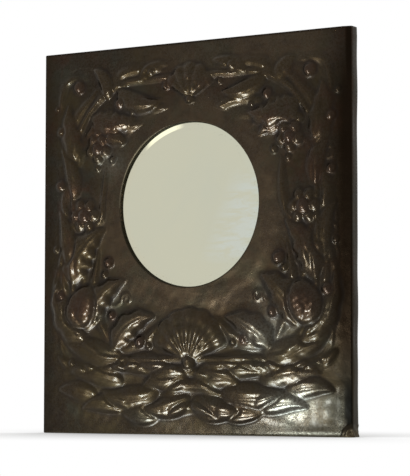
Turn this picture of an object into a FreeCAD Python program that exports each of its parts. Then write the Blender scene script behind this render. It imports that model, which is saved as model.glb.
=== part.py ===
import FreeCAD, Part
import math
import os

# Wall mirror: a sheet of raised copper folded over a plank core, with a round bevelled glass set in from
# behind. Millimetres. X runs right, Y runs back to the wall, Z runs up. The origin is on the rear face of the
# back cover, at the middle of the panel, so the front faces -Y.

# Panel
panel_width = 570.0
panel_height = 610.0
panel_depth = 17.0
sheet_gauge = 0.9
fold_radius = 2.0
flange_width = 18.0

# Round opening, seen from the front
opening_radius = 128.0
opening_offset_x = -6.0
opening_offset_z = 51.0
lip_depth = 6.0
rim_ease = 1.2
dish_width = 27.0
dish_rise = 1.2
dish_fall = 4.0

# Raised work
relief_height = 14.0
stem_width = 11.0
stem_height = 4.5
stem_lower_radius = 95.0
stem_upper_radius = 135.0
stem_side_share = 0.405
stem_top_share = 0.42

# Core: a plank up each side, and two short ones between them that meet beside the opening
joint_share = 0.6
wrap_clearance = 0.3
lip_clearance = 0.4
core_chamfer = 1.5

# Glass and what holds it
glass_cover = 10.0
glass_thickness = 5.0
bevel_width = 24.0
bevel_drop = 2.5
glass_clearance = 1.0
packing_thickness = 1.5
block_count = 8
block_length = 30.0
block_depth = 12.0
cover_margin = 26.0
cover_thickness = 6.0

# Hangers
strap_height_share = 0.28
strap_width = 14.0
strap_length = 32.0
strap_thickness = 1.0
knuckle_wall = 0.95
pin_radius = 1.1
pin_clearance = 0.05
ring_thickness = 1.6
ring_bar = 2.6
ring_inner_drop = 7.0
ring_side_clearance = 0.4
screw_head_radius = 3.2
screw_head_height = 1.3
screw_shank_radius = 1.5
screw_length = 12.0
screw_clearance = 0.05

overrun = 5.0

# Planes across the depth, from the wall forwards
core_back = -cover_thickness
sheet_front = core_back - panel_depth
core_front = sheet_front + sheet_gauge
flange_back = core_back + sheet_gauge
lip_end = sheet_front + lip_depth

# The bevel bears on the inner corner of the turned-in lip
glass_radius = opening_radius + glass_cover
glass_flat_radius = glass_radius - bevel_width
glass_front = lip_end - bevel_drop * (opening_radius - glass_flat_radius) / bevel_width
glass_back = glass_front + glass_thickness
rebate_radius = glass_radius + glass_clearance
packing_back = glass_back + packing_thickness
cover_side = 2 * (rebate_radius + cover_margin)

# The straps stand midway between the cover's farther side and the folded flange
strap_from_middle = (cover_side / 2 + abs(opening_offset_x) + panel_width / 2 - flange_width) / 2
strap_z = strap_height_share * panel_height
ring_inner_width = strap_width + 2 * ring_side_clearance
knuckle_radius = pin_radius + pin_clearance + knuckle_wall
pin_y = core_back + knuckle_radius

# Leaves of the raised work on the right half, as shares of the panel's width and height from its middle:
# base x, base z, tip x, tip z. Then the bow of the middle line as a share of the leaf's length, the leaf's
# width as a share of the panel's width, and its rise as a share of relief_height.
ground_leaf_shares = [
    (0.300, -0.405, 0.450, -0.385, 0.10, 0.064, 0.45),
    (0.215, -0.362, 0.405, -0.345, 0.12, 0.074, 0.57),
    (0.105, -0.392, 0.300, -0.395, -0.10, 0.077, 0.64),
    (0.075, -0.340, 0.265, -0.345, 0.10, 0.070, 0.57),
    (0.006, -0.412, 0.165, -0.432, -0.12, 0.070, 0.57),
    (0.004, -0.368, 0.160, -0.380, 0.10, 0.072, 0.64),
]
branch_leaf_shares = [
    (0.225, -0.292, 0.450, -0.232, -0.14, 0.077, 0.57),
    (0.344, -0.262, 0.450, -0.092, -0.15, 0.077, 0.64),
    (0.263, -0.282, 0.109, -0.200, -0.15, 0.081, 0.71),
    (0.344, -0.230, 0.221, -0.102, -0.12, 0.091, 0.79),
    (0.396, -0.118, 0.291, 0.036, -0.14, 0.088, 0.79),
    (0.414, -0.066, 0.450, 0.082, 0.15, 0.056, 0.50),
    (0.396, 0.108, 0.446, 0.246, 0.15, 0.056, 0.50),
    (0.382, 0.210, 0.418, 0.370, -0.12, 0.070, 0.64),
    (0.361, 0.279, 0.207, 0.239, -0.15, 0.074, 0.64),
    (0.337, 0.321, 0.182, 0.318, 0.16, 0.077, 0.71),
    (0.281, 0.370, 0.333, 0.446, 0.14, 0.049, 0.50),
    (0.239, 0.387, 0.098, 0.357, 0.15, 0.063, 0.64),
]
# Buds: middle x and z, lean in degrees, then length and width as shares of the panel's width, and rise
bud_shares = [(0.361, -0.170, 28.0, 0.130, 0.102, 1.0)]
# Rosettes: middle x and z, petals, radius as a share of the panel's width, rise
rosette_shares = [(0.356, 0.066, 6, 0.053, 0.60), (0.312, 0.240, 5, 0.046, 0.55)]
rosette_notch_share = 0.66
rosette_top_share = 0.30
# Fans on the middle line: z, length, petals, spread in degrees, width of a petal, rise
fan_shares = [(-0.318, 0.150, 7, 120.0, 0.048, 0.78), (0.350, 0.104, 5, 104.0, 0.042, 0.66)]
boss_radius = 12.0
boss_rise = 8.4


def at(x, y, z):
    return FreeCAD.Vector(x, y, z)


def block(width, depth, height, x, y, z):
    """A box centred on x and z whose front face is at y."""
    return Part.makeBox(width, depth, height, at(x - width / 2, y, z - height / 2))


def disc(radius, front, back, x=opening_offset_x, z=opening_offset_z):
    return Part.makeCylinder(radius, back - front, at(x, front, z), at(0, 1, 0))


def turned(points, x=opening_offset_x, z=opening_offset_z):
    """A solid turned about the opening's axis from points of radius and depth."""
    outline = Part.makePolygon([at(x + radius, depth, z) for radius, depth in points + points[:1]])
    return Part.Face(outline).revolve(at(x, 0, z), at(0, 1, 0), 360)


def folded_blank():
    """The outside of the wrapped panel, its long edges rounded by the fold and its corners left crisp."""
    box = block(panel_width, flange_back - sheet_front, panel_height, 0, sheet_front, 0)
    long_edges = [edge for edge in box.Edges if edge.BoundBox.YLength < fold_radius]
    return box.makeFillet(fold_radius, long_edges)


def relief_slab():
    """All that stands forward of the middle of the sheet's thickness, where raised work may lie."""
    rear = sheet_front + sheet_gauge / 2
    return block(panel_width, relief_height + overrun, panel_height, 0, rear - relief_height - overrun, 0)


def lens(slab, base, tip, bow, width, rise):
    """A leaf with a keel: what two big spheres share, each through both tips, the crest and one side."""
    along = tip - base
    reach = along.Length / 2
    along.normalize()
    side = at(-along.z, 0, along.x)
    middle = (base + tip) * 0.5
    crest = bow * 2 * reach
    body = slab
    for turn, swell in ((1, width / 2 + crest), (-1, width / 2 - crest)):
        across = (swell ** 2 - reach ** 2) / (2 * swell)
        depth = (crest ** 2 + rise ** 2 - reach ** 2 - 2 * turn * crest * across) / (2 * rise)
        centre = middle + side * (turn * across) - at(0, depth, 0)
        body = Part.makeSphere(math.sqrt(reach ** 2 + across ** 2 + depth ** 2), centre).common(body)
    return body


def dome(slab, x, z, radius, rise):
    ball = (radius ** 2 + rise ** 2) / (2 * rise)
    return Part.makeSphere(ball, at(x, sheet_front - rise + ball, z)).common(slab)


def on_sheet(x_share, z_share):
    return at(x_share * panel_width, sheet_front, z_share * panel_height)


def leaves(slab):
    forms = []
    for base_x, base_z, tip_x, tip_z, bow, width, rise in ground_leaf_shares + branch_leaf_shares:
        for side in (-1, 1):
            base, tip = on_sheet(side * base_x, base_z), on_sheet(side * tip_x, tip_z)
            forms.append(lens(slab, base, tip, side * bow, width * panel_width, rise * relief_height))
    return forms


def buds(slab):
    forms = []
    for x, z, lean, length, width, rise in bud_shares:
        for side in (-1, 1):
            angle = math.radians(90 + side * lean)
            half = at(math.cos(angle), 0, math.sin(angle)) * (length * panel_width / 2)
            base, tip = on_sheet(side * x, z) - half, on_sheet(side * x, z) + half
            forms.append(lens(slab, base, tip, 0, width * panel_width, rise * relief_height))
    return forms


def star(x, y, z, radius, petals):
    """The corners of a star whose notches are a share of its radius."""
    points = []
    for step in range(2 * petals):
        angle = math.radians(90) + math.pi * step / petals
        reach = radius if step % 2 == 0 else rosette_notch_share * radius
        points.append(at(x + reach * math.cos(angle), y, z + reach * math.sin(angle)))
    return points


def faceted(foot, top):
    """A solid with flat sides between two alike outlines of points."""
    faces = [Part.Face(Part.makePolygon(outline + outline[:1])) for outline in (foot, top)]
    for step in range(len(foot)):
        corners = [foot[step - 1], foot[step], top[step], top[step - 1]]
        faces.append(Part.Face(Part.makePolygon(corners + corners[:1])))
    return Part.Solid(Part.Shell(faces))


def rosettes():
    forms = []
    rear = sheet_front + sheet_gauge / 2
    for x, z, petals, radius, rise in rosette_shares:
        outer = radius * panel_width
        crown = sheet_front - rise * relief_height
        for side in (-1, 1):
            middle = on_sheet(side * x, z)
            foot = star(middle.x, rear, middle.z, outer, petals)
            top = star(middle.x, crown, middle.z, rosette_top_share * outer, petals)
            forms.append(faceted(foot, top))
    return forms


def fans(slab):
    forms = []
    for z, length, petals, spread, width, rise in fan_shares:
        hinge = at(opening_offset_x / 2, sheet_front, z * panel_height)
        for step in range(petals):
            angle = math.radians(90 - spread / 2 + spread * step / (petals - 1))
            tip = hinge + at(math.cos(angle), 0, math.sin(angle)) * (length * panel_width)
            forms.append(lens(slab, hinge, tip, 0, width * panel_width, rise * relief_height))
    forms.append(dome(slab, opening_offset_x / 2, fan_shares[0][0] * panel_height, boss_radius, boss_rise))
    return forms


def on_circle(x, y, z, radius, degrees):
    return at(x + radius * math.cos(math.radians(degrees)), y, z + radius * math.sin(math.radians(degrees)))


def stem_outline(inset, y):
    """A rounded rectangle whose lower and upper corners differ, drawn in by the inset."""
    half = stem_side_share * panel_width - inset
    low = fan_shares[0][0] * panel_height + inset
    high = stem_top_share * panel_height - inset
    lower, upper = stem_lower_radius - inset, stem_upper_radius - inset
    corners = [(half - lower, low + lower, lower, -90), (half - upper, high - upper, upper, 0),
               (upper - half, high - upper, upper, 90), (lower - half, low + lower, lower, 180)]
    arcs = []
    for x, z, radius, start in corners:
        arcs.append([on_circle(x, y, z, radius, start + turn) for turn in (0, 45, 90)])
    edges = []
    for place, arc in enumerate(arcs):
        edges.append(Part.makeLine(arcs[place - 1][2], arc[0]))
        edges.append(Part.Arc(*arc).toShape())
    return Part.Wire(edges)


def stem():
    rear = sheet_front + sheet_gauge / 2
    top = sheet_front - stem_height
    slope = stem_width / 4
    outer = Part.makeLoft([stem_outline(0, rear), stem_outline(slope, top)], True, True)
    foot = stem_outline(stem_width, rear + sheet_gauge)
    inner = Part.makeLoft([foot, stem_outline(stem_width - slope, top - sheet_gauge)], True, True)
    return outer.cut(inner)


def copper_sheet():
    hollow = block(panel_width - 2 * sheet_gauge, core_back - core_front, panel_height - 2 * sheet_gauge,
                   0, core_front, 0)
    tray = folded_blank().cut(hollow)
    window = block(panel_width - 2 * flange_width, sheet_gauge + overrun, panel_height - 2 * flange_width,
                   0, core_back - overrun / 2, 0)
    tray = tray.cut(window)
    slab = relief_slab()
    raised = leaves(slab) + buds(slab) + rosettes() + fans(slab) + [stem(), dished_ring()]
    tray = tray.multiFuse(raised)
    tray = tray.cut(disc(opening_radius, sheet_front - relief_height - overrun, core_back))
    return tray.fuse(lip()).cut(eased_rim())


def dished_ring():
    """The plain ring round the glass: it rises a little outwards, then falls back to the sheet."""
    rear = sheet_front + sheet_gauge / 2
    inner = opening_radius - overrun
    crest = opening_radius + dish_width
    outer = crest + dish_fall
    return turned([(inner, rear), (inner, sheet_front), (opening_radius + rim_ease, sheet_front),
                   (crest, sheet_front - dish_rise), (outer, sheet_front), (outer, rear)])


def lip():
    """The edge of the opening, turned back over the bevel of the glass."""
    through = disc(opening_radius, sheet_front - overrun, lip_end + overrun)
    return disc(opening_radius + sheet_gauge, sheet_front, lip_end).cut(through)


def eased_rim():
    inner, outer = opening_radius - overrun, opening_radius + rim_ease
    return turned([(inner, sheet_front - overrun), (outer, sheet_front - overrun), (outer, sheet_front),
                   (opening_radius, sheet_front + rim_ease), (inner, sheet_front + rim_ease)])


def hanger_screw_places():
    """The x and z of each strap's screw, in the middle of the strap's rounded end."""
    return [(side * strap_from_middle, strap_z - strap_length + strap_width / 2) for side in (-1, 1)]


def core_planks():
    """The core board with its opening, rebate and screw holes, sawn into four planks."""
    width = panel_width - 2 * (sheet_gauge + wrap_clearance)
    height = panel_height - 2 * (sheet_gauge + wrap_clearance)
    board = block(width, core_back - core_front, height, 0, core_front, 0)
    board = board.makeChamfer(core_chamfer, board.Edges)
    behind = core_back + overrun
    board = board.cut(disc(opening_radius + sheet_gauge + lip_clearance, core_front - overrun, behind))
    board = board.cut(disc(rebate_radius, lip_end, behind))
    for x, z in hanger_screw_places():
        shank = screw_shank_radius + screw_clearance
        depth = screw_length + screw_clearance
        board = board.cut(disc(shank, core_back - depth, behind, x, z))
    joint = joint_share * rebate_radius
    half_width, half_height = panel_width / 2, panel_height / 2
    left, right = opening_offset_x - joint, opening_offset_x + joint
    spans = ((-half_width, left, -half_height, half_height),
             (left, right, opening_offset_z, half_height),
             (left, right, -half_height, opening_offset_z),
             (right, half_width, -half_height, half_height))
    return [board.common(Part.makeBox(x1 - x0, panel_depth, z1 - z0, at(x0, sheet_front, z0)))
            for x0, x1, z0, z1 in spans]


def mirror_glass():
    edge_front = glass_front + bevel_drop
    return turned([(0, glass_front), (glass_flat_radius, glass_front), (glass_radius, edge_front),
                   (glass_radius, glass_back), (0, glass_back)])


def packing_card():
    """Card behind the glass with as many sides as there are blocks, so that each block stands on a corner."""
    corners = []
    for step in range(block_count):
        angle = 2 * math.pi * (step + 0.5) / block_count
        corners.append(at(opening_offset_x + glass_radius * math.sin(angle), glass_back,
                          opening_offset_z + glass_radius * math.cos(angle)))
    return Part.Face(Part.makePolygon(corners + corners[:1])).extrude(at(0, packing_thickness, 0))


def glazing_blocks():
    """Blocks that stand between the packing and the back cover, close inside the rebate's wall."""
    outer = math.sqrt((rebate_radius - glass_clearance) ** 2 - (block_length / 2) ** 2)
    blocks = []
    for step in range(block_count):
        piece = Part.makeBox(block_length, core_back - packing_back, block_depth,
                             at(opening_offset_x - block_length / 2, packing_back,
                                opening_offset_z + outer - block_depth))
        piece.rotate(at(opening_offset_x, 0, opening_offset_z), at(0, 1, 0), 360 * (step + 0.5) / block_count)
        blocks.append(piece)
    return blocks


def back_cover():
    return block(cover_side, cover_thickness, cover_side, opening_offset_x, core_back, opening_offset_z)


def hanger_straps():
    """Both screwed straps, each with a knuckle at its upper end, bored for its ring's bar."""
    return Part.makeCompound([hanger_strap(-strap_from_middle), hanger_strap(strap_from_middle)])


def hanger_strap(x):
    half = strap_width / 2
    length = strap_length - half
    plate = Part.makeBox(strap_width, strap_thickness, length, at(x - half, core_back, strap_z - length))
    plate = plate.fuse(disc(half, core_back, core_back + strap_thickness, x, strap_z - length))
    knuckle = Part.makeCylinder(knuckle_radius, strap_width, at(x - half, pin_y, strap_z), at(1, 0, 0))
    strap = plate.fuse(knuckle).removeSplitter()
    strap = strap.cut(Part.makeCylinder(pin_radius + pin_clearance, strap_width + 2 * overrun,
                                        at(x - half - overrun, pin_y, strap_z), at(1, 0, 0)))
    for screw_x, screw_z in hanger_screw_places():
        if screw_x * x > 0:
            strap = strap.cut(disc(screw_shank_radius + screw_clearance, core_back - overrun,
                                   core_back + strap_thickness + overrun, screw_x, screw_z))
    return strap


def hanger_ring(side):
    """A flat D-shaped ring on a round bar, hanging straight down from the knuckle."""
    x = side * strap_from_middle
    inner = ring_inner_width / 2
    outer = inner + ring_bar
    front = pin_y - ring_thickness / 2
    back = front + ring_thickness
    bend_z = strap_z - ring_inner_drop
    tall = ring_inner_drop + pin_radius
    outside = Part.makeBox(2 * outer, ring_thickness, tall, at(x - outer, front, bend_z))
    outside = outside.fuse(disc(outer, front, back, x, bend_z))
    inside = Part.makeBox(2 * inner, ring_thickness + 2 * overrun, tall + overrun,
                          at(x - inner, front - overrun, bend_z))
    inside = inside.fuse(disc(inner, front - overrun, back + overrun, x, bend_z))
    bar = Part.makeCylinder(pin_radius, 2 * outer, at(x - outer, pin_y, strap_z), at(1, 0, 0))
    return outside.cut(inside).fuse(bar).removeSplitter()


def hanger_screws():
    screws = []
    seat = core_back + strap_thickness
    for x, z in hanger_screw_places():
        head = disc(screw_head_radius, seat, seat + screw_head_height, x, z)
        shank = disc(screw_shank_radius, core_back - screw_length, seat, x, z)
        screws.append(head.fuse(shank))
    return Part.makeCompound(screws)


def build():
    nodes = {"copper_sheet": copper_sheet(), "mirror_glass": mirror_glass(), "packing_card": packing_card(),
             "back_cover": back_cover()}
    for place, plank in enumerate(core_planks()):
        nodes["core_plank_%d" % (place + 1)] = plank
    for place, piece in enumerate(glazing_blocks()):
        nodes["glazing_block_%d" % (place + 1)] = piece
    nodes["hanger_straps"] = hanger_straps()
    nodes["hanger_screws"] = hanger_screws()
    for name, side in (("left", -1), ("right", 1)):
        nodes["hanger_ring_" + name] = hanger_ring(side)
    return nodes


os.makedirs("parts", exist_ok=True)
for node, shape in build().items():
    print(node, "valid" if shape.isValid() else "NOT VALID", len(shape.Solids), "solid", round(shape.Volume))
    shape.exportStep("parts/" + node + ".step")
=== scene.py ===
from math import copysign, cos, pi, radians, sin, sqrt
import bmesh
import bpy
import numpy as np
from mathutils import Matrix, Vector


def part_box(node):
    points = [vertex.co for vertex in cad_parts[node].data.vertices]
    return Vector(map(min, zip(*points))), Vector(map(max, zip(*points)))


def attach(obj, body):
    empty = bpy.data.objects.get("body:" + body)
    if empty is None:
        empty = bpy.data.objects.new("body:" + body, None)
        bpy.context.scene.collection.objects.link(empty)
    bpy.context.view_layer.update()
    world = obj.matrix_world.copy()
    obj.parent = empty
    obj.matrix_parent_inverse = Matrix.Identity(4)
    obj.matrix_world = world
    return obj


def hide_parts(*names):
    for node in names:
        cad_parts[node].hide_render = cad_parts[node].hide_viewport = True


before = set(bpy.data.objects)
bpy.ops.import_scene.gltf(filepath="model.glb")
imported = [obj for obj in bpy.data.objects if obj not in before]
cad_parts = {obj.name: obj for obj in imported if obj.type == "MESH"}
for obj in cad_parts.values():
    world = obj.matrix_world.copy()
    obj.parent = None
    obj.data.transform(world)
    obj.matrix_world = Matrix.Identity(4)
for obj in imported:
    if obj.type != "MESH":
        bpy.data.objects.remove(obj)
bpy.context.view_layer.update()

mm = 0.001

# places read from the frame
panelLow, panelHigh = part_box("copper_sheet")
glassLow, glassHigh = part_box("mirror_glass")
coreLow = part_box("core_plank_1")[0]
coverLow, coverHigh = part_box("back_cover")
panelWidth, panelHeight = panelHigh[0] - panelLow[0], panelHigh[2] - panelLow[2]
halfWidth, halfHeight = panelWidth / 2, panelHeight / 2
glassRadius = (glassHigh[0] - glassLow[0]) / 2
openingX, openingZ = (glassLow[0] + glassHigh[0]) / 2, (glassLow[2] + glassHigh[2]) / 2


# small helpers for nodes and meshes
def connect(tree, node, values):
    # links each input that is given a socket, and sets the others
    for name, value in values.items():
        if isinstance(value, bpy.types.NodeSocket):
            tree.links.new(value, node.inputs[name])
        else:
            node.inputs[name].default_value = value


def place(tree, kind, values=None, **settings):
    node = tree.nodes.new("ShaderNode" + kind)
    for name, value in settings.items():
        setattr(node, name, value)
    connect(tree, node, values or {})
    return node


def startMaterial(name):
    material = bpy.data.materials.new(name)
    material.use_nodes = True
    return material, material.node_tree, material.node_tree.nodes["Principled BSDF"]


def startGroup(name, inputs, output):
    # a shared effect: its inputs with their usual values, and the one value it gives
    group = bpy.data.node_groups.new(name, "ShaderNodeTree")
    for label, value in inputs.items():
        kind = "NodeSocketVector" if isinstance(value, tuple) else "NodeSocketFloat"
        group.interface.new_socket(name=label, in_out="INPUT", socket_type=kind).default_value = value
    group.interface.new_socket(name=output, in_out="OUTPUT", socket_type="NodeSocketFloat")
    return group, group.nodes.new("NodeGroupInput").outputs, group.nodes.new("NodeGroupOutput").inputs[output]


def shared(tree, group, values):
    return place(tree, "Group", values, node_tree=group).outputs[0]


def mixColor(tree, factor, a, b):
    a, b = (color if isinstance(color, bpy.types.NodeSocket) else (*color, 1) for color in (a, b))
    return place(tree, "Mix", {0: factor, 6: a, 7: b}, data_type="RGBA").outputs[2]


def chain(tree, operation, values):
    total = values[0]
    for value in values[1:]:
        total = place(tree, "Math", {0: total, 1: value}, operation=operation).outputs[0]
    return total


def times(tree, *values):
    return chain(tree, "MULTIPLY", values)


def plus(tree, *values):
    return chain(tree, "ADD", values)


def spread(tree, value, low, high, toLow=0.0, toHigh=1.0):
    return place(tree, "MapRange", {0: value, 1: low, 2: high, 3: toLow, 4: toHigh}).outputs[0]


def vectors(tree, operation, *values):
    return place(tree, "VectorMath", dict(enumerate(values)), operation=operation).outputs


def objectSpot(tree):
    return place(tree, "TexCoord").outputs["Object"]


def noise(tree, where, scale, detail, roughness=0.5, distortion=0.0):
    values = {"Vector": where, "Scale": scale, "Detail": detail, "Roughness": roughness, "Distortion": distortion}
    return place(tree, "TexNoise", values).outputs["Fac"]


def turned(tree, where, rotation, scale=(1, 1, 1)):
    return place(tree, "Mapping", {"Vector": where, "Rotation": rotation, "Scale": scale}).outputs[0]


def bumps(tree, height, strength, distance):
    return place(tree, "Bump", {"Strength": strength, "Distance": distance, "Height": height}).outputs[0]


def unit(values):
    return np.clip(values, 0, 1)


def addToScene(name, data):
    thing = bpy.data.objects.new(name, data)
    bpy.context.scene.collection.objects.link(thing)
    return thing


def finishMesh(name, mesh, material, sharpAngle):
    # smooth faces with sharp edges past the angle, in one material
    mesh.materials.append(material)
    mesh.polygons.foreach_set("use_smooth", [True] * len(mesh.polygons))
    mesh.set_sharp_from_angle(angle=radians(sharpAngle))
    return addToScene(name, mesh)


# the camera comes first, found from the photograph's four corners and round glass
cameraPlan = {"eye": (1.917, -2.9, -0.2314), "aim": (0.02525, -0.023, -0.0027), "lens": 169.69, "roll": 0.08}


def lookAt(thing, eye, aim):
    thing.location = eye
    thing.rotation_euler = (Vector(aim) - Vector(eye)).to_track_quat("-Z", "Y").to_euler()


def setCamera():
    camera = addToScene("camera", bpy.data.cameras.new("camera"))
    lookAt(camera, cameraPlan["eye"], cameraPlan["aim"])
    camera.rotation_euler.rotate_axis("Z", radians(cameraPlan["roll"]))
    camera.data.lens = cameraPlan["lens"]
    camera.data.sensor_width = 36
    bpy.context.scene.camera = camera
    print("camera set")


setCamera()


# effects that several materials share
def buildPatches():
    group, given, mask = startGroup("Broad Patches", {"Scale": 8.0, "Offset": 0.0, "Low": 0.4, "High": 0.6}, "Mask")
    shift = place(group, "CombineXYZ", {0: given["Offset"], 2: given["Offset"]}).outputs[0]
    cloudy = noise(group, vectors(group, "ADD", objectSpot(group), shift)[0], given["Scale"], 5.0, 0.6, 0.4)
    limits = {0: cloudy, 1: given["Low"], 2: given["High"]}
    group.links.new(place(group, "MapRange", limits, interpolation_type="SMOOTHSTEP").outputs[0], mask)
    return group


def buildRubbed():
    group, given, mask = startGroup("Rubbed Edges", {"Radius": 0.0008, "Strength": 1.0}, "Mask")
    flat = place(group, "NewGeometry").outputs["Normal"]
    soft = place(group, "Bevel", {"Radius": given["Radius"]}, samples=6).outputs["Normal"]
    edge = spread(group, vectors(group, "DOT_PRODUCT", flat, soft)["Value"], 0.995, 0.8)
    broken = spread(group, noise(group, objectSpot(group), 90.0, 3.0), 0.3, 0.62)
    group.links.new(times(group, edge, broken, given["Strength"]), mask)
    return group


patches = buildPatches()
rubbed = buildRubbed()


def patchy(tree, scale, offset, low, high):
    return shared(tree, patches, {"Scale": scale, "Offset": offset, "Low": low, "High": high})


def wornEdges(tree, radius, strength):
    return shared(tree, rubbed, {"Radius": radius, "Strength": strength})


# the raised copper
sheetPlan = {"gauge": 0.9 * mm, "fold": 2.0 * mm, "flange": 18 * mm, "back": -5.1 * mm,
             "lip": 4.1 * mm, "lipEase": 1.6 * mm, "leftEase": 1.2 * mm, "glassCover": 10 * mm,
             "columns": 378, "rows": 404, "squareShare": 0.82, "blendShare": 1.8}
reliefPlan = {"height": 14 * mm, "groove": 2.0 * mm, "dishWidth": 27 * mm, "dishRise": 0.3 * mm, "dishFall": 16 * mm,
              "softPasses": 3, "slowWave": 95 * mm, "slowRise": 0.32, "quickWave": 24 * mm, "quickRise": 0.07,
              "quickRiseLow": 0.04, "seed": 17}
leafPlan = {"points": 48, "lobeDepth": 0.1, "veinDepth": 0.28 * mm, "ribDepth": 0.9 * mm, "ribWidth": 1.8 * mm,
            "offMirror": 0.008, "otherBow": (0.6, 1.3), "otherWidth": (0.86, 1.14), "otherHeight": (0.8, 1.12)}
bladePlan = {"points": 40, "drift": 4, "groove": 0.25 * mm, "keep": 0.7}
budPlan = {"rows": 8, "scaleRise": 2.0 * mm}
fanPlan = {"scallop": 3.0 * mm, "lineRise": 0.4 * mm, "ribShare": 0.28, "berryShare": 0.14}
gauge, fold = sheetPlan["gauge"], sheetPlan["fold"]
lipEase, leftEase = sheetPlan["lipEase"], sheetPlan["leftEase"]
sheetFront = coreLow[1] - gauge
openingRadius = glassRadius - sheetPlan["glassCover"]
lipEnd = sheetFront + sheetPlan["lip"]


def fromHole(x, z):
    # the hole is a little wider to the left, as far as the planks behind allow
    across = (x - openingX) * np.where(x < openingX, openingRadius / (openingRadius + leftEase), 1)
    return np.hypot(across, z - openingZ)


# leaves: base x, base z, tip x, tip z, bow, width, rise, lobes, veins, as shares of the panel, right half
groundLeaves = [
    (0.3, -0.405, 0.45, -0.385, 0.1, 0.064, 0.45, 0, 8),
    (0.2, -0.438, 0.375, -0.433, 0.1, 0.067, 0.5, 0, 8),
    (0.215, -0.362, 0.405, -0.345, 0.12, 0.074, 0.57, 0, 8),
    (0.105, -0.392, 0.3, -0.395, -0.1, 0.077, 0.64, 0, 8),
    (0.075, -0.34, 0.265, -0.345, 0.1, 0.07, 0.57, 0, 8),
    (0.09, -0.44, 0.235, -0.446, -0.08, 0.06, 0.5, 0, 8),
    (0.006, -0.412, 0.165, -0.432, -0.12, 0.07, 0.57, 0, 8),
    (0.004, -0.368, 0.16, -0.38, 0.1, 0.072, 0.64, 0, 8),
]
branchLeaves = [
    (0.225, -0.292, 0.45, -0.232, -0.14, 0.077, 0.57, 0, 9),
    (0.344, -0.262, 0.45, -0.092, -0.15, 0.077, 0.64, 4, 9),
    (0.263, -0.282, 0.109, -0.2, -0.15, 0.081, 0.71, 4, 9),
    (0.344, -0.23, 0.221, -0.102, -0.12, 0.091, 0.79, 5, 10),
    (0.396, -0.118, 0.291, 0.036, -0.14, 0.088, 0.79, 5, 11),
    (0.414, -0.066, 0.45, 0.082, 0.15, 0.056, 0.5, 0, 8),
    (0.396, 0.108, 0.446, 0.246, 0.15, 0.056, 0.5, 0, 8),
    (0.382, 0.21, 0.418, 0.37, -0.12, 0.07, 0.64, 4, 9),
    (0.361, 0.279, 0.207, 0.239, -0.15, 0.074, 0.64, 4, 9),
    (0.337, 0.321, 0.182, 0.318, 0.16, 0.077, 0.71, 5, 9),
    (0.281, 0.37, 0.333, 0.446, 0.14, 0.049, 0.5, 0, 7),
    (0.239, 0.387, 0.098, 0.357, 0.15, 0.063, 0.64, 0, 8),
    (0.175, 0.407, 0.07, 0.446, -0.12, 0.046, 0.43, 0, 7),
]
# long low blades that sweep between the leaves: base, middle, tip (x, z), then width and rise, all as shares
blades = [
    ((0.3, -0.29), (0.405, -0.18), (0.432, 0.02), 0.05, 0.34),
    ((0.262, -0.27), (0.318, -0.15), (0.3, -0.01), 0.046, 0.3),
    ((0.345, -0.14), (0.372, -0.01), (0.432, 0.12), 0.044, 0.3),
    ((0.425, 0.0), (0.418, 0.13), (0.352, 0.24), 0.05, 0.34),
    ((0.352, 0.0), (0.3, 0.08), (0.29, 0.2), 0.044, 0.3),
    ((0.418, 0.15), (0.4, 0.3), (0.3, 0.41), 0.054, 0.36),
    ((0.35, 0.24), (0.27, 0.29), (0.135, 0.3), 0.046, 0.34),
    ((0.33, 0.355), (0.215, 0.43), (0.075, 0.425), 0.048, 0.34),
    ((0.24, 0.33), (0.15, 0.345), (0.045, 0.305), 0.042, 0.3),
    ((0.24, -0.285), (0.15, -0.262), (0.08, -0.205), 0.046, 0.34),
    ((0.44, -0.25), (0.452, -0.12), (0.425, -0.01), 0.034, 0.28),
    ((0.34, 0.435), (0.425, 0.425), (0.448, 0.33), 0.036, 0.26),
    ((0.18, -0.3), (0.11, -0.32), (0.03, -0.33), 0.05, 0.4),
    ((0.345, -0.3), (0.24, -0.325), (0.15, -0.32), 0.05, 0.38),
    ((0.452, -0.29), (0.4, -0.32), (0.3, -0.322), 0.044, 0.34),
]
# three more that cross the middle line low down
middleBlades = [
    ((-0.095, -0.402), (0.005, -0.376), (0.115, -0.404), 0.046, 0.44),
    ((-0.075, -0.452), (0.01, -0.43), (0.09, -0.456), 0.04, 0.4),
    ((-0.12, -0.35), (-0.03, -0.336), (0.07, -0.356), 0.038, 0.36),
]
# fine raised lines that wander round the outside of the relief, in millimetres
edgeLines = [
    ((196, -204), (240, -176), (259, -120), (252, -56), (260, 6), (253, 74), (261, 140), (250, 206), (212, 262),
     (140, 279), (70, 270)),
    ((232, -206), (252, -160), (246, -96), (262, -40), (246, 30), (258, 84), (247, 150), (256, 224), (226, 274),
     (160, 268)),
]
# tendrils: x, z, radius, turns, start in degrees, hand, then the tail's points, in millimetres
tendrils = [
    (248, 4, 11, 1.6, -100, 1, [(236, -30)]),
    (246, -126, 10, 1.5, -160, 1, [(214, -134), (228, -138)]),
    (122, -94, 9, 1.4, -20, 1, [(160, -106), (144, -104)]),
    (246, 120, 9, 1.4, -140, 1, [(222, 98), (232, 104)]),
    (150, 258, 9, 1.4, 180, -1, [(120, 242), (132, 248)]),
]
buds = [(0.361, -0.17, 28.0, 0.13, 0.102, 0.76)]  # x, z, lean, length, width, rise
rosettes = [(0.356, 0.066, 6, 0.053, 0.6), (0.312, 0.24, 5, 0.046, 0.55)]  # x, z, petals, radius, rise
fans = [(-0.318, 0.15, 7, 120.0, 0.78), (0.35, 0.104, 5, 104.0, 0.66)]  # z, radius, ribs, spread, rise
stemPlan = {"side": 0.405, "top": 0.42, "width": 11 * mm, "height": 4.5 * mm,
            "lowerRadius": 95 * mm, "upperRadius": 135 * mm}
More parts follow.
